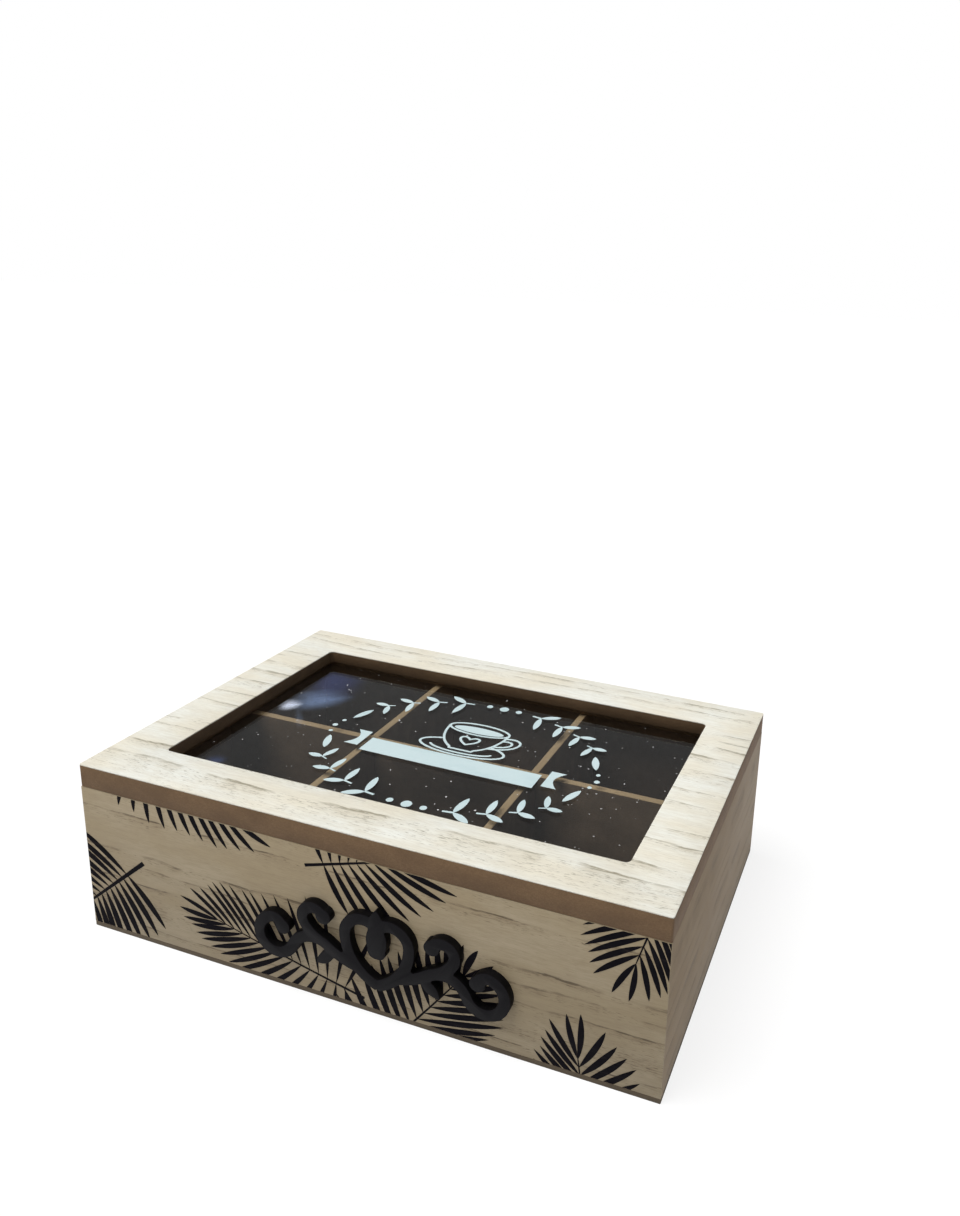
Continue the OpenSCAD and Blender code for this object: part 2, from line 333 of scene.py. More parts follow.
class Effects:
    """Node groups that more than one finish uses. Each is built once."""

    @staticmethod
    @cache
    def veneer_figure() -> bpy.types.NodeTree:
        """Builds the figure of plain sliced wood.

        Each growth ring darkens slowly and ends in a thin broken line, with a dotted line inside it.
        The rings wander along the board and come and go. Between them lie fine fibres and pores.

        Returns:
            The group. All its outputs are masks from 0 to 1, apart from Relief, which is a height.
        """
        inputs = {"Place": "Vector", "Ring Spacing": 6.0, "Waviness": 2.0, "Seed": 0.0}
        w = new_tree("veneer_figure", "Shader", inputs,
                     ("Lines", "Shading", "Fibres", "Pores", "Tone", "Relief"))
        given = w.given()
        seed, waviness = given["Seed"], given["Waviness"]
        place = given["Place"] + w.join(seed, seed, seed) * (173.0, 61.0, 29.0)
        along, across, _ = w.split(place)

        wander = (w.noise(place, (110, 26, 60)) - 0.5) * (waviness * 4.0)
        wobble = (w.noise(place, (17, 6, 20), 3.0) - 0.5) * (waviness * 1.3)
        bent = across + (wander + wobble)
        uneven = w.noise(w.join(0.0, bent), (1, 15, 1), 1.0)
        ring = bent / given["Ring Spacing"] + uneven * 2.5
        step = w.maths("FRACT", ring)
        number = w.maths("FLOOR", ring)
        present = w.ramp(w.noise(w.join(along, number * 37.0), (24, 1, 1)), 0.42, 0.58)
        chips = w.noise(place, (4.5, 0.5, 2), 3.0, 0.65)
        crisp = w.band(step, (0.86, 0.91), (0.97, 1.0)) * w.ramp(chips, 0.38, 0.5, 0.1, 1.0)
        dotted = w.band(step, (0.66, 0.74), (0.78, 0.84)) * w.ramp(chips, 0.52, 0.62, 0.0, 0.6)
        lines = w.maths("MAXIMUM", crisp, dotted) * present
        late = w.band(step, (0.3, 0.95), (0.95, 1.0))

        fine = w.noise(place, (5.5, 0.42, 0.8), 3.0, 0.65)
        coarse = w.noise(place, (18, 1.6, 3))
        fibres = w.ramp(fine * 0.65 + coarse * 0.35, 0.38, 0.62)
        dashes = w.ramp(w.noise(place, (2.6, 0.26, 0.6), 1.0), 0.62, 0.7)
        pores = dashes * w.ramp(late, 0.1, 0.8, 0.2, 1.0)
        tone = w.ramp(w.noise(place, (42, 17, 40), 3.0), 0.32, 0.68)
        relief = fibres * 0.3 - (pores * 0.6 + lines * 0.7)
        return w.give(lines=lines, shading=late * late * present, fibres=fibres, pores=pores,
                      tone=tone, relief=relief)

    @staticmethod
    @cache
    def board_fibre() -> bpy.types.NodeTree:
        """Builds the felt of fibreboard: short light and dark fibres and soft clouds.

        Returns:
            The group. Specks and Clouds are masks from 0 to 1, and Relief is a height.
        """
        w = new_tree("board_fibre", "Shader", {"Place": "Vector"}, ("Specks", "Clouds", "Relief"))
        place = w.given()["Place"]
        felt = w.noise(place, (0.9, 0.32, 0.32), 3.0, 0.65)
        cross = w.noise(place, (0.3, 0.8, 0.5), 2.0, 0.6)
        both = felt * 0.6 + cross * 0.4
        clouds = w.ramp(w.noise(place, (14, 7, 7)), 0.3, 0.7)
        return w.give(specks=w.ramp(both, 0.38, 0.66), clouds=clouds, relief=both)

    @staticmethod
    @cache
    def handling() -> bpy.types.NodeTree:
        """Builds what hands and cloths leave: faint smears and fine dust.

        Returns:
            The group. Smears and Dust are masks from 0 to 1.
        """
        w = new_tree("handling", "Shader", {"Place": "Vector", "Speck Size": 0.5}, ("Smears", "Dust"))
        given = w.given()
        place, size = given["Place"], given["Speck Size"]
        smears = w.ramp(w.noise(place, (22, 9, 14), 4.0, 0.6), 0.42, 0.7)
        grit = w.noise(place / w.join(size, size, size), (1, 1, 1), 1.0)
        return w.give(smears=smears, dust=w.ramp(grit, 0.69, 0.76))


# ---------------------------------------------------------------- finishes


@dataclass(frozen=True)
class Finish:
    """A surface finish. The kinds of finish below fill in look()."""

    name: str
    roughness: float = 0.5
    gloss_level: float = 0.5
    metallic: float = 0.0
    relief_depth: float = 0.0

    def look(self, w: Wiring) -> Look:
        """Wires the finish. Returns its colour, its roughness and its relief, if it has one."""
        raise NotImplementedError

    def surface(self, w: Wiring) -> Signal:
        """Wires the shader that wears this look.

        Args:
            w: the material's wiring.

        Returns:
            The shader.
        """
        colour, roughness, relief = self.look(w)
        feeds = {"Base Color": colour, "Roughness": roughness, "Metallic": self.metallic,
                 "Specular IOR Level": self.gloss_level}
        if relief is not None:
            bump = {"Height": relief, "Distance": self.relief_depth, "Strength": 1.0}
            feeds["Normal"] = w.out("ShaderNodeBump", bump)
        return w.out("ShaderNodeBsdfPrincipled", feeds)

    @cache
    def material(self) -> bpy.types.Material:
        """Returns the finish as a material, which is built on first use."""
        return new_material(self.name, self.surface)


def place_on(w: Wiring, grain: Grain = Grain.LENGTHWISE_FLAT) -> Signal:
    """Wires the object's own coordinates in millimetres.

    Args:
        w: the material's wiring.
        grain: the way the fibres run.

    Returns:
        The coordinates, as along, across and through the grain.
    """
    own = w.out("ShaderNodeTexCoord", output="Object") * (1 / MM, 1 / MM, 1 / MM)
    parts = dict(zip("XYZ", w.split(own)))
    return w.join(*(parts[axis] for axis in grain.value))


@dataclass(frozen=True)
class VeneerFinish(Finish):
    """Matt sliced veneer."""

    pale: Shade = Shade(243, 244, 236)
    warm: Shade = Shade(238, 232, 214)
    shaded: Shade = Shade(214, 206, 187)
    line: Shade = Shade(146, 138, 116)
    pore: Shade = Shade(142, 133, 112)
    grain: Grain = Grain.LENGTHWISE_FLAT
    ring_spacing: float = 6.0
    waviness: float = 2.0
    line_share: float = 0.95
    fibre_share: float = 0.42
    pore_share: float = 0.75
    seed: float = 0.0
    roughness: float = 0.62
    relief_depth: float = 0.05 * MM

    def figure(self, w: Wiring) -> dict[str, Signal]:
        """Places the group that draws this veneer's figure and returns its masks."""
        return w.group(Effects.veneer_figure(), place=place_on(w, self.grain),
                       ring_spacing=self.ring_spacing, waviness=self.waviness, seed=self.seed)

    def look(self, w: Wiring) -> Look:
        """Wires the figure, a little gloss on the late wood and the open grain.

        Args:
            w: the material's wiring.

        Returns:
            The colour, the roughness and the relief.
        """
        marks = self.figure(w)
        colour = w.mix(marks["Tone"], self.pale, self.warm)
        soft = marks["Fibres"] * self.fibre_share + marks["Shading"] * 0.5
        colour = w.mix(soft, colour, self.shaded)
        colour = w.mix(marks["Pores"] * self.pore_share, colour, self.pore)
        colour = w.mix(marks["Lines"] * self.line_share, colour, self.line)
        return colour, marks["Fibres"] * -0.1 + (self.roughness + 0.05), marks["Relief"]


@dataclass(frozen=True)
class VeneerInkFinish(Finish):
    """Ink printed straight on veneer, so that the open grain still breaks it a little."""

    under: VeneerFinish = VeneerFinish("veneer")
    ink: Shade = Shade(14, 12, 18)
    worn: Shade = Shade(44, 38, 40)
    roughness: float = 0.7
    gloss_level: float = 0.06
    relief_depth: float = 0.03 * MM

    def look(self, w: Wiring) -> Look:
        """Wires the ink, thinner where the grain is open.

        Args:
            w: the material's wiring.

        Returns:
            The colour, the roughness and the relief.
        """
        marks = self.under.figure(w)
        colour = w.mix(marks["Pores"] * 0.45 + marks["Lines"] * 0.5, self.ink, self.worn)
        return colour, marks["Fibres"] * 0.15 + (self.roughness - 0.05), marks["Relief"]


@dataclass(frozen=True)
class BoardFinish(Finish):
    """Raw fibreboard, as it comes off the saw."""

    body: Shade = Shade(117, 91, 64)
    light: Shade = Shade(152, 124, 93)
    dark: Shade = Shade(86, 65, 46)
    roughness: float = 0.75
    relief_depth: float = 0.12 * MM

    def felted(self, w: Wiring) -> tuple[Signal, dict[str, Signal]]:
        """Wires the colour of the raw board.

        Args:
            w: the material's wiring.

        Returns:
            The colour, and the fibre's masks by name.
        """
        fibre = w.group(Effects.board_fibre(), place=place_on(w))
        colour = w.mix(fibre["Specks"] * 0.45, self.body, self.light)
        return w.mix(fibre["Clouds"] * 0.35, colour, self.dark), fibre

    def look(self, w: Wiring) -> Look:
        """Wires the felt and its relief."""
        colour, fibre = self.felted(w)
        return colour, fibre["Specks"] * 0.1 + (self.roughness - 0.05), fibre["Relief"]


@dataclass(frozen=True)
class StainedBoardFinish(BoardFinish):
    """Fibreboard stained dark before it was cut, with its top edge left raw.

    The edge is all that lies above raw_above. The default is far above the box, so none of it is raw.
    """

    stain: Shade = Shade(96, 78, 66)
    stain_light: Shade = Shade(125, 104, 88)
    raw_above: float = 1.0
    relief_depth: float = 0.08 * MM

    def look(self, w: Wiring) -> Look:
        """Wires the stain below a level and the raw board above it.

        Args:
            w: the material's wiring.

        Returns:
            The colour, the roughness and the relief.
        """
        raw, fibre = self.felted(w)
        marks = w.group(Effects.handling(), place=place_on(w))
        patchy = fibre["Specks"] * 0.3 + marks["Smears"] * 0.5
        height = w.split(w.out("ShaderNodeTexCoord", output="Object"))[2]
        edge = w.ramp(height, self.raw_above - 0.1 * MM, self.raw_above)
        colour = w.mix(edge, w.mix(patchy, self.stain, self.stain_light), raw)
        return colour, edge * 0.15 + (self.roughness - 0.1), fibre["Relief"]


@dataclass(frozen=True)
class PaintFinish(Finish):
    """Satin paint on a cut board, with a darker cut edge."""

    face: Shade = Shade(19, 18, 21)
    edge: Shade = Shade(11, 10, 11)
    scuff: Shade = Shade(50, 49, 52)
    face_at: float = 0.0
    gloss_level: float = 0.085
    relief_depth: float = 0.05 * MM

    def look(self, w: Wiring) -> Look:
        """Wires the painted face, the darker cut edge behind it and faint scuffs.

        Args:
            w: the material's wiring.

        Returns:
            The colour, the roughness and the relief.
        """
        place = place_on(w, Grain.LENGTHWISE_UPRIGHT)
        marks = w.group(Effects.handling(), place=place, speck_size=0.35)
        inward = w.split(w.out("ShaderNodeTexCoord", output="Object"))[1]
        behind = w.ramp(inward, self.face_at + 0.1 * MM, self.face_at + 0.4 * MM)
        worn = marks["Smears"] * 0.12 + marks["Dust"] * 0.35
        colour = w.mix(worn, w.mix(behind, self.face, self.edge), self.scuff)
        relief = w.group(Effects.board_fibre(), place=place)["Relief"]
        return colour, marks["Smears"] * 0.12 + self.roughness, relief


@dataclass(frozen=True)
class BrassFinish(Finish):
    """Thin brass plating on pressed steel, a little dulled."""

    bright: Shade = Shade(214, 178, 110)
    dull: Shade = Shade(150, 118, 70)
    roughness: float = 0.32
    metallic: float = 1.0
    relief_depth: float = 0.01 * MM

    def look(self, w: Wiring) -> Look:
        """Wires the metal with brushed and tarnished patches.

        Args:
            w: the material's wiring.

        Returns:
            The colour, the roughness and the relief.
        """
        place = place_on(w)
        marks = w.group(Effects.handling(), place=place, speck_size=0.4)
        brushed = w.noise(place, (0.12, 3.0, 3.0))
        tarnish = marks["Smears"] * 0.6 + marks["Dust"] * 0.4
        roughness = marks["Smears"] * 0.18 + (brushed * 0.22 + (self.roughness - 0.11))
        return w.mix(tarnish, self.bright, self.dull), roughness, brushed


@dataclass(frozen=True)
class GlassInkFinish(Finish):
    """Pale enamel printed on glass."""

    ink: Shade = Shade(211, 229, 231)
    thin: Shade = Shade(186, 211, 215)
    roughness: float = 0.4
    relief_depth: float = 0.01 * MM

    def look(self, w: Wiring) -> Look:
        """Wires the enamel, a little uneven from the screen it was printed through.

        Args:
            w: the material's wiring.

        Returns:
            The colour, the roughness and the relief.
        """
        place = place_on(w)
        marks = w.group(Effects.handling(), place=place, speck_size=0.3)
        mesh = w.noise(place, (0.35, 0.35, 1.0), 1.0)
        colour = w.mix(marks["Smears"] * 0.35 + mesh * 0.3, self.ink, self.thin)
        return colour, mesh * 0.2 + (self.roughness - 0.1), mesh


@dataclass(frozen=True)
class GlassFinish(Finish):
    """Clear float glass that lets lamps through to what lies behind it."""

    tint: Shade = Shade(244, 247, 246)
    roughness: float = 0.0
    index: float = 1.45

    def surface(self, w: Wiring) -> Signal:
        """Wires the glass and a clear way for the rays of lamps.

        Args:
            w: the material's wiring.

        Returns:
            The shader.
        """
        glass = w.out("ShaderNodeBsdfPrincipled", {
            "Base Color": self.tint, "Roughness": self.roughness, "IOR": self.index,
            "Transmission Weight": 1.0})
        clear = w.out("ShaderNodeBsdfTransparent", {"Color": self.tint})
        lamp_ray = w.out("ShaderNodeLightPath", output="Is Shadow Ray")
        return w.out("ShaderNodeMixShader", {0: lamp_ray, 1: glass, 2: clear})


@dataclass(frozen=True)
class DustFinish(Finish):
    """Pale household dust."""

    pale: Shade = Shade(222, 222, 222)
    dark: Shade = Shade(150, 148, 146)
    roughness: float = 0.95

    def look(self, w: Wiring) -> Look:
        """Wires each fleck a shade between pale and dark."""
        tone = w.ramp(w.noise(place_on(w), (3, 3, 3), 1.0), 0.4, 0.6)
        return w.mix(tone, self.pale, self.dark), self.roughness, None


# ---------------------------------------------------------------- meshes


def link(name: str, data: bpy.types.ID) -> bpy.types.Object:
    """Puts a mesh, a lamp or a camera into the scene.

    Args:
        name: the object's name.
        data: the mesh, the lamp or the camera.

    Returns:
        The new object.
    """
    made = bpy.data.objects.new(name, data)
    bpy.context.scene.collection.objects.link(made)
    return made


def mesh_object(name: str, work: bmesh.types.BMesh, material: bpy.types.Material) -> bpy.types.Object:
    """Turns a bmesh into an object with one material, and frees the bmesh.

    Args:
        name: the object's name.
        work: its geometry, which is freed.
        material: its material.

    Returns:
        The new object.
    """
    mesh = bpy.data.meshes.new(name)
    work.to_mesh(mesh)
    work.free()
    mesh.materials.append(material)
    return link(name, mesh)


def new_piece(name: str, work: bmesh.types.BMesh, finish: Finish, body: str) -> bpy.types.Object:
    """Turns a finished bmesh into a piece that rides on a body.

    Args:
        name: the piece's name.
        work: its geometry, in place; it is freed.
        finish: its finish.
        body: the body that it moves with.

    Returns:
        The new object.
    """
    piece = mesh_object(name, work, finish.material())
    faces = piece.data.polygons
    faces.foreach_set("use_smooth", [True] * len(faces))
    piece.data.set_sharp_from_angle(angle=SHARP)
    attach(piece, body)
    log.info("%s: %d faces on %s", name, len(faces), body)
    return piece


def slot_of(node: str) -> str:
    """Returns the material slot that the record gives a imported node."""
    return next(part["material_slot"] for part in frame["record"]["subparts"] if part["node"] == node)


def eased_piece(node: str, finish: Finish, ease: float, segments: int = 2) -> bpy.types.Object:
    """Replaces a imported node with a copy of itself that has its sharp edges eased.

    Args:
        node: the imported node.
        finish: its finish.
        ease: the width taken off each edge.
        segments: how many facets round the edge.

    Returns:
        The new object.
    """
    packed = frame["nodes"][node]
    work = bmesh.new()
    corners = [work.verts.new(v.co) for v in packed.data.vertices]
    for face in packed.data.polygons:
        work.faces.new([corners[i] for i in face.vertices])
    bmesh.ops.remove_doubles(work, verts=work.verts, dist=WELD)
    bmesh.ops.dissolve_limit(work, angle_limit=FLAT, verts=work.verts, edges=work.edges)
    bmesh.ops.recalc_face_normals(work, faces=work.faces)
    sharp = [e for e in work.edges if e.is_manifold and e.calc_face_angle() > SHARP]
    bmesh.ops.bevel(work, geom=sharp, offset=ease, segments=segments, profile=0.5, affect="EDGES",
                    clamp_overlap=True)
    piece = new_piece(node + "_eased", work, finish, packed["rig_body"])
    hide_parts(node)
    return piece


def upright(face: bpy.types.MeshPolygon) -> bool:
    """Tells whether a face stands more upright than flat."""
    return abs(face.normal.z) < 0.5


def faces_up(face: bpy.types.MeshPolygon) -> bool:
    """Tells whether a face lies about level and looks up."""
    return face.normal.z > 0.9


def add_finishes(piece: bpy.types.Object, finishes: Iterable[Finish],
                 pick: Callable[[bpy.types.MeshPolygon], int]) -> None:
    """Gives a piece further finishes.

    Args:
        piece: the piece, which has its first finish.
        finishes: the others, in order.
        pick: gives each face the number of its finish, 0 for the first.
    """
    for finish in finishes:
        piece.data.materials.append(finish.material())
    for face in piece.data.polygons:
        face.material_index = pick(face)


# ---------------------------------------------------------------- flat drawing and printing


def arc(centre: Point, radii: Point, start: float, end: float, steps: int = 32) -> Shape:
    """Returns the points of an elliptical arc in even chords, between two angles in degrees."""
    turns = [math.radians(start + (end - start) * i / steps) for i in range(steps + 1)]
    return [(centre[0] + radii[0] * math.cos(t), centre[1] + radii[1] * math.sin(t)) for t in turns]


def oval(centre: Point, radii: Point, corners: int = 24) -> Shape:
    """Returns the corners of a closed oval."""
    return arc(centre, radii, 0, 360 - 360 / corners, corners - 1)


def bezier(start: Point, pull: Point, push: Point, end: Point, steps: int = 14) -> Shape:
    """Draws a cubic Bezier curve.

    Args:
        start: its first point.
        pull: where it heads for at first.
        push: where it comes from at last.
        end: its last point.
        steps: how many chords it has.

    Returns:
        The curve's points.
    """
    found = []
    for t in (i / steps for i in range(steps + 1)):
        shares = ((1 - t) ** 3, 3 * t * (1 - t) ** 2, 3 * t * t * (1 - t), t**3)
        found.append(tuple(sum(s * p[axis] for s, p in zip(shares, (start, pull, push, end)))
                           for axis in (0, 1)))
    return found


def pen_line(path: Shape, width: float) -> list[Shape]:
    """Returns the polygons of a pen line with round ends along a path.

    Args:
        path: the line's points.
        width: the pen's width.

    Returns:
        One polygon for each stretch and a small disc on each point. They overlap.
    """
    shapes = [oval(p, (width / 2, width / 2), 12) for p in path]
    for a, b in zip(map(Vector, path), map(Vector, path[1:])):
        side = (b - a).orthogonal().normalized() * width / 2
        shapes.append([tuple(corner) for corner in (a + side, a - side, b - side, b + side)])
    return shapes


def counter_clockwise(shape: Shape) -> Shape:
    """Returns a polygon with its corners in counter-clockwise order."""
    area = sum(a[0] * b[1] - a[1] * b[0] for a, b in zip(shape, shape[1:] + shape[:1]))
    return shape if area > 0 else shape[::-1]


def film(shapes: list[Shape], window: Shape, lay: Lay, sink: float, proud: float) -> bmesh.types.BMesh:
    """Merges flat shapes into one film of ink.

    Args:
        shapes: polygons in millimetres, which may overlap.
        window: the polygon that the film is trimmed to, or an empty list.
        lay: puts a point of the drawing, with its height off the board, in place.
        sink: how far the film reaches into the board.
        proud: how far it stands off the board.

    Returns:
        A closed mesh.
    """
    points: Shape = []
    faces: list[list[int]] = []
    for shape in map(counter_clockwise, [window, *shapes] if window else shapes):
        faces.append(list(range(len(points), len(points) + len(shape))))
        points += shape
    inside_only, merge_within = 1, 1e-4
    places, _, cells, _, _, owners = delaunay_2d_cdt(
        list(map(Vector, points)), [], faces, inside_only, merge_within, True)
    # the window is polygon 0, and a cell is inked where it lies in the window and in a shape too
    inked = [cell for cell, own in zip(cells, owners) if (0 in own and len(own) > 1 if window else own)]
    work = bmesh.new()
    lower = [work.verts.new(lay(p.x * MM, p.y * MM, -sink)) for p in places]
    for cell in inked:
        work.faces.new([lower[i] for i in cell])
    bmesh.ops.delete(work, geom=[v for v in work.verts if not v.link_faces], context="VERTS")
    raised = bmesh.ops.extrude_face_region(work, geom=list(work.faces), use_keep_orig=True)["geom"]
    lift = lay(0.0, 0.0, proud) - lay(0.0, 0.0, -sink)
    bmesh.ops.translate(work, vec=lift, verts=[g for g in raised if isinstance(g, bmesh.types.BMVert)])
    bmesh.ops.recalc_face_normals(work, faces=work.faces)
    return work


def grown_shapes(tree: bpy.types.NodeTree, settings: dict[str, Feed]) -> list[Shape]:
    """Runs a geometry tree.

    Args:
        tree: the geometry tree.
        settings: values for its named inputs.

    Returns:
        The flat faces that it makes, in its own units.
    """
    host = link(tree.name, bpy.data.meshes.new(tree.name))
    modifier = host.modifiers.new("grow", "NODES")
    modifier.node_group = tree
    for item in tree.interface.items_tree:
        if item.in_out == "INPUT" and item.name in settings:
            modifier[item.identifier] = settings[item.name]
    made = bpy.data.meshes.new_from_object(host.evaluated_get(bpy.context.evaluated_depsgraph_get()))
    bpy.data.objects.remove(host)
    shapes = [[tuple(made.vertices[i].co[:2]) for i in face.vertices] for face in made.polygons]
    bpy.data.meshes.remove(made)
    return shapes


class Growth:
    """Geometry trees for what repeats. They draw flat, in millimetres."""

    row_inputs: dict[str, float | int] = {
        "Count": 8, "Base Angle": 0.0, "Late Angle": 0.0, "Opening": 0.0, "Closing": 0.0,
        "Base Length": 0.0, "Tip Length": 0.0, "Swell": 0.0, "Width": 2.0, "Seed": 0}

    @staticmethod
    def unit_grid(w: Wiring, cuts: int) -> Signal:
        """Returns a unit square round the origin, with a number of cross cuts along X."""
        feeds = {"Size X": 1.0, "Size Y": 1.0, "Vertices X": cuts, "Vertices Y": 2}
        return w.out("GeometryNodeMeshGrid", feeds)

    @staticmethod
    def moved(w: Wiring, mesh: Signal, place: Signal) -> Signal:
        """Returns a mesh with its points set in new places."""
        return w.out("GeometryNodeSetPosition", {"Geometry": mesh, "Position": place})

    @classmethod
    def blade(cls, w: Wiring, bow: float, widest: float) -> Signal:
        """Draws a spear-shaped blade, one unit long along +X and one unit wide.

        Args:
            w: the tree's wiring.
            bow: how far its middle bulges to the left, in widths.
            widest: where along it is widest.

        Returns:
            The blade's geometry.
        """
        x, y, _ = w.split(w.out("GeometryNodeInputPosition"))
        along = x + 0.5
        eased = along ** (math.log(0.5) / math.log(widest))
        swell = eased * 4.0 * (1.0 - eased)
        side = y * (swell ** 0.8 + 0.03)
        bend = along * (1.0 - along) * (bow * 4)
        return cls.moved(w, cls.unit_grid(w, 12), w.join(along, side + bend))

    @staticmethod
    def between(w: Wiring, share: Feed, first: Feed, last: Feed) -> Signal:
        """Returns the value that lies at a share of the way from first to last."""
        return w.out("ShaderNodeMapRange", {0: share, 3: first, 4: last}, clamp=False)

    @staticmethod
    def random(w: Wiring, number: Feed, seed: Feed, low: float, high: float) -> Signal:
        """Returns a random value between low and high for each number."""
        feeds = {"ID": number, "Seed": seed, 2: low, 3: high}
        return w.out("FunctionNodeRandomValue", feeds, 1, data_type="FLOAT")

    @staticmethod
    def planted(w: Wiring, spots: Signal, shape: Signal, heading: Feed, size: tuple[Feed, Feed]) -> Signal:
        """Sets a shape on points.

        Args:
            w: the tree's wiring.
            spots: the points.
            shape: what stands on each of them.
            heading: the angle that it is turned to, in radians.
            size: its length and its width.

        Returns:
            The instances.
        """
        feeds = {"Points": spots, "Instance": shape, "Rotation": w.join(z=heading),
                 "Scale": w.join(*size, 1.0)}
        return w.out("GeometryNodeInstanceOnPoints", feeds)

    @staticmethod
    def joined(w: Wiring, parts: Iterable[Signal]) -> Signal:
        """Joins parts into one geometry.

        Args:
            w: the tree's wiring.
            parts: the parts, in order.

        Returns:
            The joined geometry.
        """
        joint = w.add("GeometryNodeJoinGeometry")
        for part in parts:
            w.feed(joint.inputs[0], part)
        return Signal(w, joint.outputs[0])

    @classmethod
    def inked(cls, w: Wiring, parts: Iterable[Signal], ink: Signal) -> Signal:
        """Returns the parts as one real mesh with its material."""
        real = w.out("GeometryNodeRealizeInstances", {0: cls.joined(w, parts)})
        return w.out("GeometryNodeSetMaterial", {0: real, "Material": ink})

    @classmethod
    def leaflet_row(cls) -> bpy.types.NodeTree:
        """Builds the tree that sets one row of leaflets along one side of a rib.

        Returns:
            The tree. Side is 1 for the row on the rib's left and -1 for the one on its right.
        """
        inputs = {"Rib": "Geometry", "Side": 0.0, **cls.row_inputs}
        w = new_tree("leaflet_row", "Geometry", inputs, ["Leaflets"])
        given = w.given()
        side, seed = given["Side"], given["Seed"]
        feeds = {"Curve": given["Rib"], "Count": given["Count"]}
        spots = w.outs("GeometryNodeCurveToPoints", feeds, mode="COUNT")
        number = w.out("GeometryNodeInputIndex")
        share = number / w.maths("MAXIMUM", given["Count"] - 1.0, 1.0)
        steady = cls.between(w, share, given["Base Angle"], given["Late Angle"])
        lean = steady + (1.0 - share) ** 4.0 * given["Opening"] - share ** 10.0 * given["Closing"]
        tilt = cls.random(w, number, seed, -1.3, 1.3)
        x, y, _ = w.split(spots["Tangent"])
        heading = w.maths("ARCTAN2", y, x) + w.maths("RADIANS", lean + tilt) * side
        straight = cls.between(w, share, given["Base Length"], given["Tip Length"])
        length = straight + share * (1.0 - share) * 4.0 * given["Swell"]
        size = length * cls.random(w, number, seed + 7.0, 0.95, 1.05), side * given["Width"]
        leaf = cls.blade(w, 0.24, 0.52)
        return w.give(leaflets=cls.planted(w, spots["Points"], leaf, heading, size))

    @classmethod
    def frond(cls) -> bpy.types.NodeTree:
        """Builds the tree of a whole frond: a tapered rib and a row of leaflets on each side.

        Returns:
            The tree. The settings of its rows start with Left and Right.
        """
        inputs = {"Stalk": "Vector", "Bend": "Vector", "Tip": "Vector", "Bare": 0.0, "Rib Width": 0.9,
                  "Ink": "Material"}
        for side in ("Left ", "Right "):
            inputs.update({side + name: value for name, value in cls.row_inputs.items()})
        w = new_tree("frond", "Geometry", inputs, ["Frond"])
        given = w.given()
        feeds = {"Resolution": 32, "Start": given["Stalk"], "Middle": given["Bend"], "End": given["Tip"]}
        rib = w.out("GeometryNodeCurveQuadraticBezier", feeds)
        leafy = w.out("GeometryNodeTrimCurve", {0: rib, 2: given["Bare"], 3: 1.0}, mode="FACTOR")

        x, y, _ = w.split(w.out("GeometryNodeInputPosition"))
        along = x + 0.5
        spot = w.outs("GeometryNodeSampleCurve", {"Curves": rib, "Factor": along}, mode="FACTOR")
        sideways = w.maths("CROSS_PRODUCT", (0.0, 0.0, 1.0), spot["Tangent"])
        reach = y * (given["Rib Width"] * (along * -0.65 + 1.0))
        place = spot["Position"] + sideways * w.join(reach, reach)
        parts = [cls.moved(w, cls.unit_grid(w, 24), place)]

        row = cls.leaflet_row()
        for side, sign in (("Left ", 1.0), ("Right ", -1.0)):
            feeds = {name: given[side + name] for name in cls.row_inputs}
            parts.append(w.group(row, rib=leafy, side=sign, **feeds)["Leaflets"])
        return w.give(frond=cls.inked(w, parts, given["Ink"]))

    @classmethod
    def wreath(cls) -> bpy.types.NodeTree:
        """Builds the tree of an oval wreath: four sprigs and a leaf in each quarter.

        Each sprig is a short stem with a leaf that points out and one that points in. Their angles
        turn and their lengths shrink evenly from the long sides of the oval to its ends.

        Returns:
            The tree. It draws around the oval's centre.
        """
        inputs = {"Half Width": 0.0, "Half Height": 0.0, "Sprigs": 4, "Ink": "Material"}
        w = new_tree("wreath", "Geometry", inputs, ["Wreath"])
        given = w.given()
        number = w.out("GeometryNodeInputIndex")
        turn = w.maths("RADIANS", number * -12.2 + 71.9)
        spot = w.join(w.maths("COSINE", turn) * given["Half Width"],
                      w.maths("SINE", turn) * given["Half Height"])
        spots = w.out("GeometryNodePoints", {"Count": given["Sprigs"], "Position": spot})
        leaf = cls.blade(w, 0.0, 0.5)
        bar = {0: cls.unit_grid(w, 2), "Translation": (0.5, 0.0, 0.0)}
        stem = w.out("GeometryNodeTransform", bar)
        parts = []
        for shape, angle, step, length, shrink, width in (
                (leaf, 27.0, -9.2, 9.0, -0.85, 2.9), (leaf, -84.0, -7.2, 10.9, -0.87, 2.8),
                (stem, 172.0, -5.0, 4.2, -0.45, 1.0)):
            heading = w.maths("RADIANS", number * step + angle)
            size = number * shrink + length, number * -0.12 + width
            parts.append(cls.planted(w, spots, shape, heading, size))
        lone = {0: leaf, "Rotation": (0.0, 0.0, math.radians(111)), "Scale": (10.6, 2.9, 1.0),
                "Translation": (55.7, 8.4, 0.0)}
        quarter = cls.joined(w, [*parts, w.out("GeometryNodeTransform", lone)])
        whole = [w.out("GeometryNodeTransform", {0: quarter, "Scale": (across, up, 1.0)})
                 for up in (1.0, -1.0) for across in (1.0, -1.0)]
        return w.give(wreath=cls.inked(w, whole, given["Ink"]))

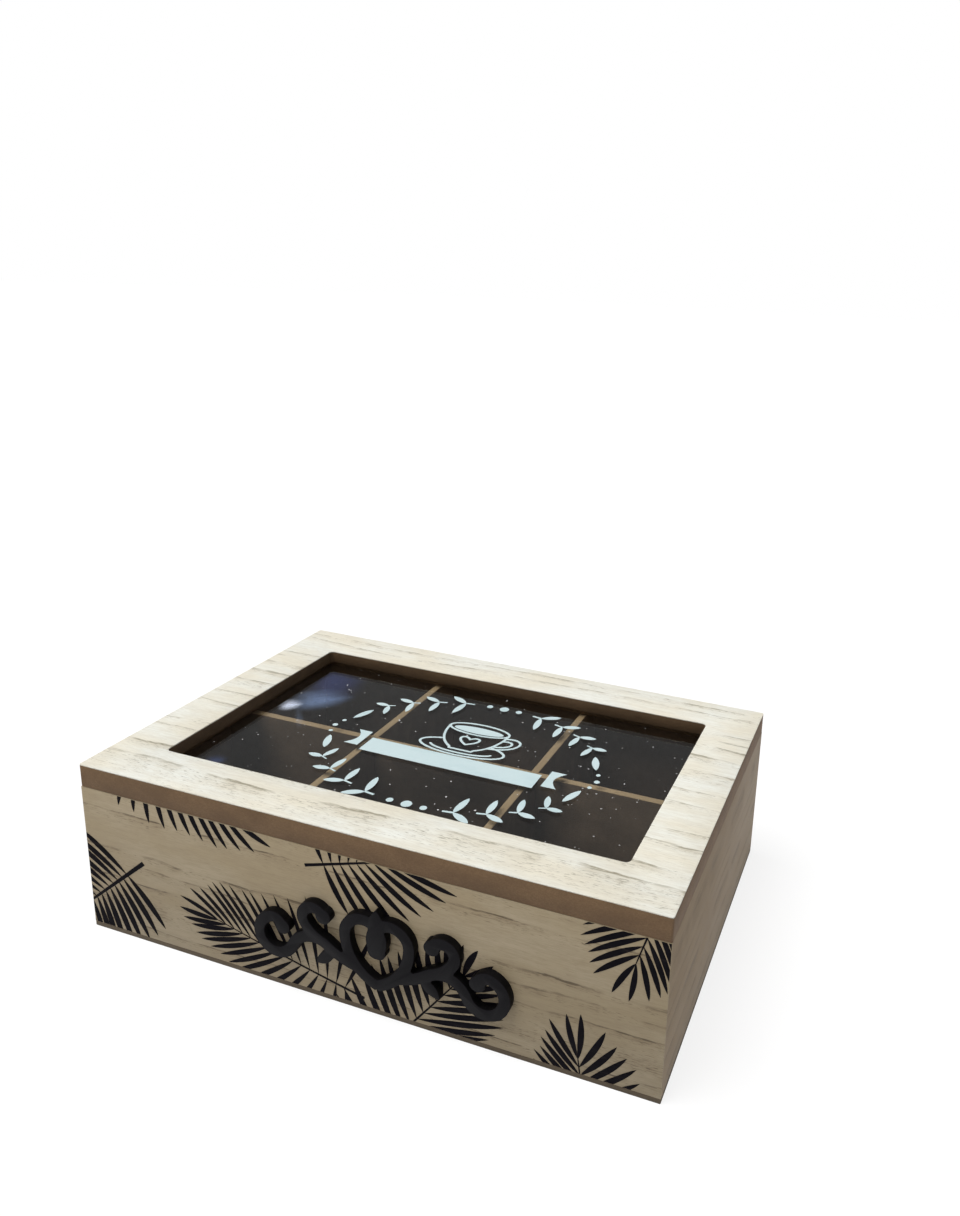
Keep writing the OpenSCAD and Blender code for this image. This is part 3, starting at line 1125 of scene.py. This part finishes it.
    @classmethod
    def dust(cls) -> bpy.types.NodeTree:
        """Builds the tree that scatters small five-sided flecks over a rectangle.

        Returns:
            The tree. It draws around the rectangle's middle.
        """
        inputs = {"Width": 0.0, "Height": 0.0, "Density": 0.0, "Fleck": 0.0, "Seed": 0, "Dust": "Material"}
        w = new_tree("dust", "Geometry", inputs, ["Flecks"])
        given = w.given()
        seed = given["Seed"]
        grid = w.out("GeometryNodeMeshGrid", {"Size X": given["Width"], "Size Y": given["Height"]})
        feeds = {"Mesh": grid, "Density": given["Density"], "Seed": seed}
        spots = w.out("GeometryNodeDistributePointsOnFaces", feeds)
        fleck = w.out("GeometryNodeMeshCircle", {"Vertices": 5, "Radius": 1.0}, fill_type="NGON")
        number = w.out("GeometryNodeInputIndex")
        spin = cls.random(w, number, seed, 0.0, 6.28)
        length = cls.random(w, number, seed + 1.0, 0.3, 1.0) ** 2.0 * given["Fleck"]
        size = length, length * cls.random(w, number, seed + 2.0, 0.4, 1.0)
        placed = cls.planted(w, spots, fleck, spin, size)
        return w.give(flecks=cls.inked(w, [placed], given["Dust"]))


# ---------------------------------------------------------------- case


PALE_VENEER = VeneerFinish("veneer_lid_top", ring_spacing=12.5, waviness=2.4, line_share=0.75, seed=0.37)
# The front veneer is a darker, browner copy of the lid top's veneer: painted shade on a face that stands
# out of the top light. The back veneer copies its colours.
FRONT_VENEER_PAINTED_SHADE = VeneerFinish(
    "veneer_front_painted_shade", pale=Shade(186, 171, 144), warm=Shade(173, 156, 126), shaded=Shade(154, 136, 108),
    line=Shade(90, 76, 56), pore=Shade(104, 90, 68), grain=Grain.LENGTHWISE_UPRIGHT,
    ring_spacing=11.5, waviness=2.2, line_share=0.85, seed=1.7)
BACK_VENEER_PAINTED_SHADE = replace(FRONT_VENEER_PAINTED_SHADE, name="veneer_back_painted_shade", line=Shade(104, 89, 66),
                      pore=Shade(110, 95, 73), ring_spacing=11.0, line_share=0.8, seed=5.3)
# The side veneer is darker still than the front's: painted shade of the side turned away from the key
# light, worn by the left side as well.
SIDE_VENEER_PAINTED_SHADE = VeneerFinish(
    "veneer_sides_painted_shade", pale=Shade(160, 138, 108), warm=Shade(151, 128, 97), shaded=Shade(134, 112, 82),
    line=Shade(115, 97, 73), pore=Shade(115, 97, 73), grain=Grain.DEPTHWISE_UPRIGHT,
    ring_spacing=9.0, line_share=0.6, pore_share=0.3, seed=3.1)
RAW_BOARD = BoardFinish("fibreboard_raw")
BRASS = BrassFinish("brass_hinges")
SIDES = ("front", "back", "left", "right")


@dataclass
class Case:
    """The glued case: four walls on a bottom board, under their veneers."""

    board_ease: float = 0.25 * MM
    veneer_ease: float = 0.12 * MM
    raw_rim: float = 0.3 * MM

    def build(self) -> None:
        """Builds and dresses the boards and the veneers."""
        stained = StainedBoardFinish(
            "fibreboard_walls", body=Shade(152, 124, 94), light=Shade(180, 152, 120),
            dark=Shade(124, 98, 72), raw_above=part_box("front_panel")[1].z - self.raw_rim)
        for side in SIDES:
            eased_piece(side + "_panel", stained, self.board_ease)
        self.build_bottom()
        for side, veneer in zip(SIDES, (FRONT_VENEER_PAINTED_SHADE, BACK_VENEER_PAINTED_SHADE, SIDE_VENEER_PAINTED_SHADE, SIDE_VENEER_PAINTED_SHADE)):
            eased_piece(side + "_veneer", veneer, self.veneer_ease)

    def build_bottom(self) -> None:
        """Builds the bottom board, raw on its edges, darkened there as painted shade at the foot of the
        case, and stained on its upper face.
        """
        piece = eased_piece("bottom_panel", RAW_BOARD, self.board_ease)
        stained = StainedBoardFinish("fibreboard_bottom")
        # The bottom edge is raw board darkened into a painted shadow line along the foot of the case.
        edge = BoardFinish("fibreboard_bottom_edge_painted_shade", body=Shade(97, 85, 69), light=Shade(113, 100, 82),
                           dark=Shade(78, 67, 53))
        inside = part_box("long_divider")[1].x

        def pick(face: bpy.types.MeshPolygon) -> int:
            """Returns 2 for an edge, 1 for the face inside the walls and 0 for the rest."""
            shown = faces_up(face) and abs(face.center.x) < inside
            return 2 if upright(face) else int(shown)

        add_finishes(piece, (stained, edge), pick)


@dataclass
class Dividers:
    """Three boards that cross in half laps and stand in the grooves of the walls."""

    ease: float = 0.15 * MM
    raw_rim: float = 0.2 * MM

    def build(self) -> None:
        """Builds the boards, stained on their faces and raw on their top edges, which carry a lighter copy
        of the raw board: painted light on the tops.
        """
        # The raw tops are made far lighter than the raw board elsewhere: painted light where they face up.
        finish = StainedBoardFinish(
            "fibreboard_dividers_painted_light_tops", body=Shade(190, 160, 125), light=Shade(210, 184, 152),
            dark=Shade(164, 134, 102), stain=Shade(102, 84, 69), stain_light=Shade(130, 108, 90),
            raw_above=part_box("long_divider")[1].z - self.raw_rim)
        for board in ("long_divider", "left_cross_divider", "right_cross_divider"):
            eased_piece(board, finish, self.ease)


@dataclass
class FrontOrnament:
    """The cut-out scroll on the front."""

    ease: float = 0.2 * MM

    def build(self) -> None:
        """Builds the painted cut-out."""
        finish = PaintFinish("satin_black", face_at=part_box("front_ornament")[0].y)
        eased_piece("front_ornament", finish, self.ease)


# ---------------------------------------------------------------- front print


@dataclass(frozen=True)
class LeafletRow:
    """The leaflets on one side of a rib: lengths in millimetres, angles off the rib in degrees.

    The angle runs evenly from base_angle to late_angle. The first leaflets open wider by opening,
    and the last ones close up by closing.
    """

    base_angle: float
    late_angle: float
    opening: float
    closing: float
    base_length: float
    tip_length: float
    swell: float
    seed: int
    width: float = 2.0

    def settings(self, side: str, count: int) -> dict[str, Feed]:
        """Returns the row as settings of the frond tree, for its Left or Right side."""
        return {f"{side} {spoken(name)}": value for name, value in {"count": count, **asdict(self)}.items()}


@dataclass(frozen=True)
class Frond:
    """One palm frond, in millimetres on the front: x to the right and z up."""

    stalk: Point
    bend: Point
    tip: Point
    bare: float
    pairs: int
    left: LeafletRow
    right: LeafletRow
    rib_width: float = 1.2

    def shapes(self, tree: bpy.types.NodeTree) -> list[Shape]:
        """Grows the frond.

        Args:
            tree: the tree that draws fronds.

        Returns:
            Its flat shapes.
        """
        return grown_shapes(tree, {
            "Stalk": (*self.stalk, 0.0), "Bend": (*self.bend, 0.0), "Tip": (*self.tip, 0.0),
            "Bare": self.bare, "Rib Width": self.rib_width,
            **self.left.settings("Left", self.pairs), **self.right.settings("Right", self.pairs)})


@dataclass
class FrondPrint:
    """Palm fronds printed on the front veneer, running off its edges."""

    inset: float = 0.15 * MM
    sink: float = 0.03 * MM
    proud: float = 0.05 * MM
    fronds: tuple[Frond, ...] = (
        # upper left: the rib runs above the edge, so only tips hang down
        Frond((-94.5, 71.5), (-71, 69.4), (-46.4, 64.1), 0.02, 12,
              LeafletRow(70, 40, 0, 25, 18, 16, 0, 1),
              LeafletRow(74, 38, 28, 23, 15, 17.5, 2.5, 2, 2.1)),
        # left edge
        Frond((-88.5, 34.5), (-107.5, 18.3), (-126.5, 2), 0.22, 14,
              LeafletRow(77, 48, 12, 20, 25, 17, 3, 3, 2.7),
              LeafletRow(75, 48, 0, 20, 27, 18, 3, 4, 2.4), 1.8),
        # lower middle, leaning left
        Frond((6, 5.3), (-25, 11.6), (-55.5, 19.5), 0.13, 16,
              LeafletRow(51, 25, 54, 14, 26, 18, 3, 5, 2.0),
              LeafletRow(52, 33, 50, 27, 30, 17.5, 4, 6, 1.7), 1.0),
        # upper middle
        Frond((-16.8, 53.1), (3, 59), (23.5, 65.2), 0.19, 11,
              LeafletRow(76, 12, 16, 0, 18, 14, 3, 7),
              LeafletRow(84, 18, -5, 0, 20.5, 21, 6, 8, 2.2)),
        # lower middle, leaning right
        Frond((3, -26), (26.5, 2.5), (44.5, 26.5), 0.07, 16,
              LeafletRow(65, 44, 12, 32, 26, 13, 7, 9, 2.5),
              LeafletRow(43, 35, 0, 15, 34, 14, 8.5, 10, 2.2)),
        # upper right
        Frond((113, 78), (108.5, 66), (104, 50.3), 0.02, 9,
              LeafletRow(40, 39, 0, 30, 26, 15, 1, 11, 1.9),
              LeafletRow(46, 42, 0, 28, 30, 15.5, 2, 12, 2.0), 1.1),
        # lower right
        Frond((90, -24), (88.8, -8), (86.4, 7.6), 0.02, 11,
              LeafletRow(58, 34, 0, 28, 26, 17.5, 0, 13, 2.1),
              LeafletRow(80, 42, 0, 32, 30, 18, 0, 14, 2.2)),
    )

    def build(self) -> None:
        """Prints the fronds on the front veneer, trimmed at its eased edges."""
        low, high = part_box("front_veneer")
        left, right = ((low.x + self.inset) / MM, (high.x - self.inset) / MM)
        foot, top = ((low.z + self.inset) / MM, (high.z - self.inset) / MM)
        window = [(left, foot), (right, foot), (right, top), (left, top)]
        tree = Growth.frond()
        shapes = [shape for frond in self.fronds for shape in frond.shapes(tree)]
        work = film(shapes, window, lambda x, z, h: Vector((x, low.y - h, z)), self.sink, self.proud)
        ink = VeneerInkFinish("frond_ink", under=FRONT_VENEER_PAINTED_SHADE)
        new_piece("frond_print", work, ink, "case")


# ---------------------------------------------------------------- lid


@dataclass
class Lid:
    """The lid's frame, its veneer, the glass and the strips that hold it."""

    board_ease: float = 0.3 * MM
    veneer_ease: float = 0.18 * MM
    glass_ease: float = 0.2 * MM

    def build(self) -> None:
        """Builds and dresses the lid."""
        self.build_frame()
        eased_piece("lid_veneer", PALE_VENEER, self.veneer_ease)
        for side in SIDES:
            eased_piece(side + "_glass_bead", RAW_BOARD, self.board_ease)
        eased_piece("glass_pane", GlassFinish("float_glass"), self.glass_ease, segments=1)

    def build_frame(self) -> None:
        """Builds the frame, with the inner edge of its window a darker brown: painted shade on the raw
        board inside the window.
        """
        # Painted shade: the window's inner walls get a darker copy of the raw board.
        window_edge_shade = BoardFinish("fibreboard_window_edge_painted_shade", body=Shade(96, 75, 53), light=Shade(120, 98, 74),
                           dark=Shade(70, 54, 38))
        low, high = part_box("glass_pane")

        def pick(face: bpy.types.MeshPolygon) -> int:
            """Returns 1 for an upright face over the glass, and 0 for the rest."""
            x, y, _ = face.center
            return int(low.x < x < high.x and low.y < y < high.y and upright(face))

        add_finishes(eased_piece("lid_frame", RAW_BOARD, self.board_ease), [window_edge_shade], pick)


@dataclass(frozen=True)
class CupDrawing:
    """A line drawing of a cup on a saucer, in millimetres on the glass."""

    pen: float = 1.0
    middle: float = 3.6
    size: float = 1.07
    base: float = -4.2

    def shapes(self) -> list[Shape]:
        """Draws the cup to its size, growing up from its base and out from its middle."""
        return [[(self.middle + (x - self.middle) * self.size, self.base + (y - self.base) * self.size)
                 for x, y in shape] for shape in self.drawn()]

    def drawn(self) -> list[Shape]:
        """Draws the cup: rim, tea, bowl, foot, handle, heart and saucer.

        Returns:
            Its shapes, before it is brought to its size.
        """
        x = self.middle
        rim = arc((x, 17.4), (12.8, 4.3), 0, 360, 48)
        tea = oval((x, 16.7), (10.7, 2.5))
        side = bezier((x + 12.8, 17.2), (x + 12.6, 8.5), (x + 8.5, 3.2), (x + 5.2, 1.4))
        foot = [(x + 5.2, 1.4), (x + 4.6, 0.2), (x - 4.6, 0.2), (x - 5.2, 1.4)]
        outer = bezier((x + 12.4, 14.6), (x + 21.5, 18.5), (x + 23.5, 7.0), (x + 9.6, 5.0), 20)
        inner = bezier((x + 12.2, 12.4), (x + 18.2, 14.8), (x + 18.6, 8.2), (x + 10.9, 7.2), 16)
        heart = bezier((x, 4.6), (x + 7.5, 9.2), (x + 2.4, 12.6), (x, 8.9), 12)
        saucer = arc((x, 1.6), (17.6, 5.6), 128, 412, 48)
        well = arc((x, 1.2), (13.0, 3.4), 192, 348, 30)
        lines = [rim, side, self.mirrored(side), foot, outer, inner, heart, self.mirrored(heart), saucer,
                 well]
        return [tea] + [shape for line in lines for shape in pen_line(line, self.pen)]

    def mirrored(self, line: Shape) -> Shape:
        """Returns a line mirrored left to right about the cup's middle."""
        return [(2 * self.middle - x, y) for x, y in line]


@dataclass(frozen=True)
class RibbonDrawing:
    """A plain ribbon with a forked tail at each end."""

    middle: float = 4.3
    half: float = 38.0
    top: float = -4.8
    height: float = 10.5
    sag: float = 0.2
    tail_gap: float = 2.6
    tail_width: float = 6.3
    tail_top: float = -0.6
    tail_height: float = 12.0
    notch: float = 3.2

    def shapes(self) -> list[Shape]:
        """Draws the band and its two tails.

        Returns:
            The three shapes.
        """
        across = [i / 24 * 2 - 1 for i in range(25)]
        upper = [(self.middle + self.half * t, self.top - self.sag * (1 - t * t)) for t in across]
        lower = [(x, y - self.height) for x, y in reversed(upper)]
        return [upper + lower, self.tail(-1), self.tail(1)]

    def tail(self, side: int) -> Shape:
        """Draws a tail.

        Args:
            side: -1 for the left one, 1 for the right one.

        Returns:
            The tail's outline.
        """
        near = self.middle + side * (self.half + self.tail_gap)
        far = near + side * self.tail_width
        bottom = self.tail_top - self.tail_height
        fork = [(far - side * self.notch * math.sin(math.pi * t), self.tail_top - self.tail_height * t)
                for t in (i / 10 for i in range(11))]
        return [(near, self.tail_top), *fork, (near, bottom)]


def on_glass() -> Lay:
    """Returns the lay that puts a drawing on the top of the glass."""
    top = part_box("glass_pane")[1].z
    return lambda x, y, height: Vector((x, y, top + height))


@dataclass
class GlassPrint:
    """A wreath, a cup and a ribbon printed on the glass."""

    sink: float = 0.01 * MM
    proud: float = 0.04 * MM
    centre: Point = (4.75, -1.2)
    halves: Point = (59.0, 43.0)
    cup: CupDrawing = field(default_factory=CupDrawing)
    ribbon: RibbonDrawing = field(default_factory=RibbonDrawing)

    def wreath_shapes(self) -> list[Shape]:
        """Grows the wreath and its dots around the drawing's centre.

        Returns:
            The leaves, the stems and the dots.
        """
        cx, cy = self.centre
        settings = {"Half Width": self.halves[0], "Half Height": self.halves[1]}
        dots = []
        for side in (-1, 1):
            for offset, radius in ((-7.0, 1.4), (0.0, 2.1), (7.0, 1.4)):
                dots.append(((cx + offset, cy + side * 42.3), radius))
            for offset, reach, radius in ((-5.0, 57.9, 0.9), (0.0, 59.1, 1.15), (5.0, 57.9, 0.9)):
                dots.append(((cx + side * reach, cy + offset), radius))
        leaves = [[(cx + x, cy + y) for x, y in shape] for shape in grown_shapes(Growth.wreath(), settings)]
        return leaves + [oval(spot, (radius, radius)) for spot, radius in dots]

    def build(self) -> None:
        """Prints the drawing on the glass."""
        shapes = self.wreath_shapes() + self.cup.shapes() + self.ribbon.shapes()
        work = film(shapes, [], on_glass(), self.sink, self.proud)
        new_piece("glass_print", work, GlassInkFinish("glass_enamel"), "lid")


@dataclass
class GlassDust:
    """Flecks of dust lying on the glass."""

    density: float = 0.014
    fleck: float = 0.5
    seed: int = 11
    margin: float = 4 * MM
    lift: float = 0.002 * MM
    proud: float = 0.03 * MM

    def build(self) -> None:
        """Scatters the dust inside the lid's window."""
        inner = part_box("right_glass_bead")[0].x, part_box("back_glass_bead")[0].y
        width, height = ((reach * 2 - self.margin * 2) / MM for reach in inner)
        settings = {"Width": width, "Height": height, "Density": self.density, "Fleck": self.fleck,
                    "Seed": self.seed}
        work = film(grown_shapes(Growth.dust(), settings), [], on_glass(), -self.lift, self.proud)
        new_piece("glass_dust", work, DustFinish("dust"), "lid")


@dataclass
class Hinges:
    """Two butt hinges with their pins and round-headed nails."""

    ease: float = 0.1 * MM

    def build(self) -> None:
        """Eases the leaves, and plates the pins and the nails as they are."""
        for node, packed in frame["nodes"].items():
            if slot_of(node) != "hinge_brass":
                continue
            if node.endswith(("_pin", "_nails")):
                packed.data.materials.clear()
                packed.data.materials.append(BRASS.material())
                log.info("%s: finish %s", node, BRASS.name)
            else:
                eased_piece(node, BRASS, self.ease)


# ---------------------------------------------------------------- studio


@dataclass(frozen=True)
class Window:
    """A far window that shows in the glass: its middle and half sizes in metres, and its light."""

    middle: Triple
    half_width: float
    half_height: float
    brightness: float
    tint: Shade

    def build(self, name: str) -> None:
        """Builds a soft bright patch that only a mirror or glass shows, facing the box.

        Args:
            name: the name of the patch.
        """
        work = bmesh.new()
        bmesh.ops.create_grid(work, x_segments=1, y_segments=1, size=1.0)
        card = mesh_object(name, work, new_material(name, self.surface))
        card.location = self.middle
        card.rotation_euler = (-Vector(self.middle)).to_track_quat("Z", "Y").to_euler()
        card.scale = (self.half_width, self.half_height, 1.0)

    def surface(self, w: Wiring) -> Signal:
        """Wires a glow that fades towards the rim in soft clouds.

        Args:
            w: the material's wiring.

        Returns:
            The shader.
        """
        own = w.out("ShaderNodeTexCoord", output="Object")
        off_middle = w.out("ShaderNodeVectorMath", {0: own}, "Value", operation="LENGTH")
        cloudy = w.noise(own, (1.4, 0.5, 1.0), 3.0) * 0.7 + -0.35
        soft = w.ramp(off_middle + cloudy, 0.0, 0.85, 1.0, 0.0)
        glow = w.out("ShaderNodeEmission", {"Color": self.tint, "Strength": soft * self.brightness})
        clear = w.out("ShaderNodeBsdfTransparent")
        patch = w.out("ShaderNodeAddShader", {0: glow, 1: clear})
        mirrored = w.out("ShaderNodeLightPath", output="Is Glossy Ray")
        return w.out("ShaderNodeMixShader", {0: mirrored, 1: clear, 2: patch})


def seen_share(w: Wiring) -> Signal:
    """Tells the rays that see from the rays that light.

    Args:
        w: the wiring of a material or the world.

    Returns:
        1 for rays from the camera, a mirror or glass, and 0 for the rest.
    """
    path = w.outs("ShaderNodeLightPath")
    mirrored = w.maths("MAXIMUM", path["Is Glossy Ray"], path["Is Transmission Ray"])
    return w.maths("MAXIMUM", path["Is Camera Ray"], mirrored)


@dataclass
class Studio:
    """A pale floor under soft light, with a white background."""

    floor_radius: float = 6.0
    floor: Shade = Shade(190, 190, 190)
    floor_share: float = 0.6
    floor_glow: float = 1.4
    key_strength: float = 2.65
    key_softness: float = 38.0
    key_from: Triple = (-0.33, -0.25, 1.0)
    fill: float = 0.26
    white_below: float = 0.26
    dim_above: float = 0.4
    dim: float = 0.2
    windows: tuple[Window, ...] = (
        Window((-0.637, 0.724, 0.492), 0.024, 0.010, 4.2, Shade(222, 230, 250)),
        Window((-0.604, 0.745, 0.487), 0.060, 0.019, 1.5, Shade(160, 190, 240)),
        Window((-0.597, 0.772, 0.466), 0.060, 0.050, 0.42, Shade(100, 125, 230)),
        Window((-0.621, 0.722, 0.509), 0.009, 0.018, 0.45, Shade(170, 195, 235)),
        Window((-0.689, 0.630, 0.543), 0.022, 0.009, 0.60, Shade(130, 160, 240)))

    def build(self) -> None:
        """Builds the floor, the world and the lamps."""
        work = bmesh.new()
        bmesh.ops.create_circle(work, cap_ends=True, radius=self.floor_radius, segments=96)
        mesh_object("studio_floor", work, new_material("studio_floor", self.floor_surface))
        self.build_world()
        self.build_key()
        for number, window in enumerate(self.windows):
            window.build(f"studio_window_{number}")

    def floor_surface(self, w: Wiring) -> Signal:
        """Wires a floor that is white to the camera but keeps the box's shadow.

        Args:
            w: the material's wiring.

        Returns:
            The shader.
        """
        lit = w.out("ShaderNodeBsdfDiffuse", {"Color": self.floor})
        glow = w.out("ShaderNodeEmission", {"Color": WHITE, "Strength": self.floor_glow})
        return w.out("ShaderNodeMixShader", {0: seen_share(w) * self.floor_share, 1: lit, 2: glow})

    def build_world(self) -> None:
        """Builds a world that is white around the horizon, dim overhead, and lights softly."""
        world = bpy.data.worlds.new("studio_world")
        bpy.context.scene.world = world
        w = bare(world)
        height = w.split(w.out("ShaderNodeTexCoord", output="Generated"))[2]
        shown = w.ramp(height, self.white_below, self.dim_above, 1.0, self.dim)
        strength = w.out("ShaderNodeMix", {0: seen_share(w), 2: self.fill, 3: shown}, data_type="FLOAT")
        sky = w.out("ShaderNodeBackground", {"Color": WHITE, "Strength": strength})
        w.add("ShaderNodeOutputWorld", {"Surface": sky})

    def build_key(self) -> None:
        """Builds the broad key light, high in front and to the left, unseen in the glass."""
        lamp = bpy.data.lights.new("key", "SUN")
        lamp.energy = self.key_strength
        lamp.angle = math.radians(self.key_softness)
        key = link("key", lamp)
        key.rotation_euler = Vector(self.key_from).to_track_quat("Z", "Y").to_euler()
        key.visible_glossy = False
        key.visible_transmission = False


@dataclass
class ProductCamera:
    """The camera, three-quarters from the front right and a little above.

    The view is given as a lens maker would: where the eye is, which way each side of the picture
    points, and the focal length and optical axis in pixels of a 960 by 1216 frame.
    """

    eye: Triple = (169.43, -320.17, 259.48)
    right: Triple = (0.9460037, 0.3205323, 0.0483323)
    down: Triple = (0.1294707, -0.2369260, -0.9628621)
    ahead: Triple = (-0.2971772, 0.9171287, -0.2656324)
    focal_px: float = 966.55
    axis_px: Point = (615.0, 528.8)
    frame_px: tuple[int, int] = (960, 1216)
    sensor: float = 36.0

    def build(self) -> None:
        """Builds the camera and makes it the scene's own."""
        width, height = self.frame_px
        lens = bpy.data.cameras.new("product_camera")
        lens.sensor_fit = "VERTICAL"
        lens.sensor_height = self.sensor
        lens.lens = self.focal_px / height * self.sensor
        lens.shift_x = (width / 2 - self.axis_px[0]) / height
        lens.shift_y = (self.axis_px[1] - height / 2) / height
        lens.clip_start = 0.01
        lens.clip_end = 50.0
        camera = link("product_camera", lens)
        turn = Matrix((self.right, [-d for d in self.down], [-a for a in self.ahead])).transposed()
        camera.matrix_world = Matrix.Translation(Vector(self.eye) * MM) @ turn.to_4x4()
        bpy.context.scene.camera = camera


def main() -> None:
    """Builds the studio and every part of the box."""
    logging.basicConfig(level=logging.INFO, format="%(message)s")
    bpy.context.scene.view_settings.view_transform = "Standard"
    for part in (ProductCamera(), Studio(), Case(), Dividers(), FrontOrnament(), FrondPrint(), Lid(),
                 GlassPrint(), GlassDust(), Hinges()):
        part.build()


if __name__ == "__main__":
    main()
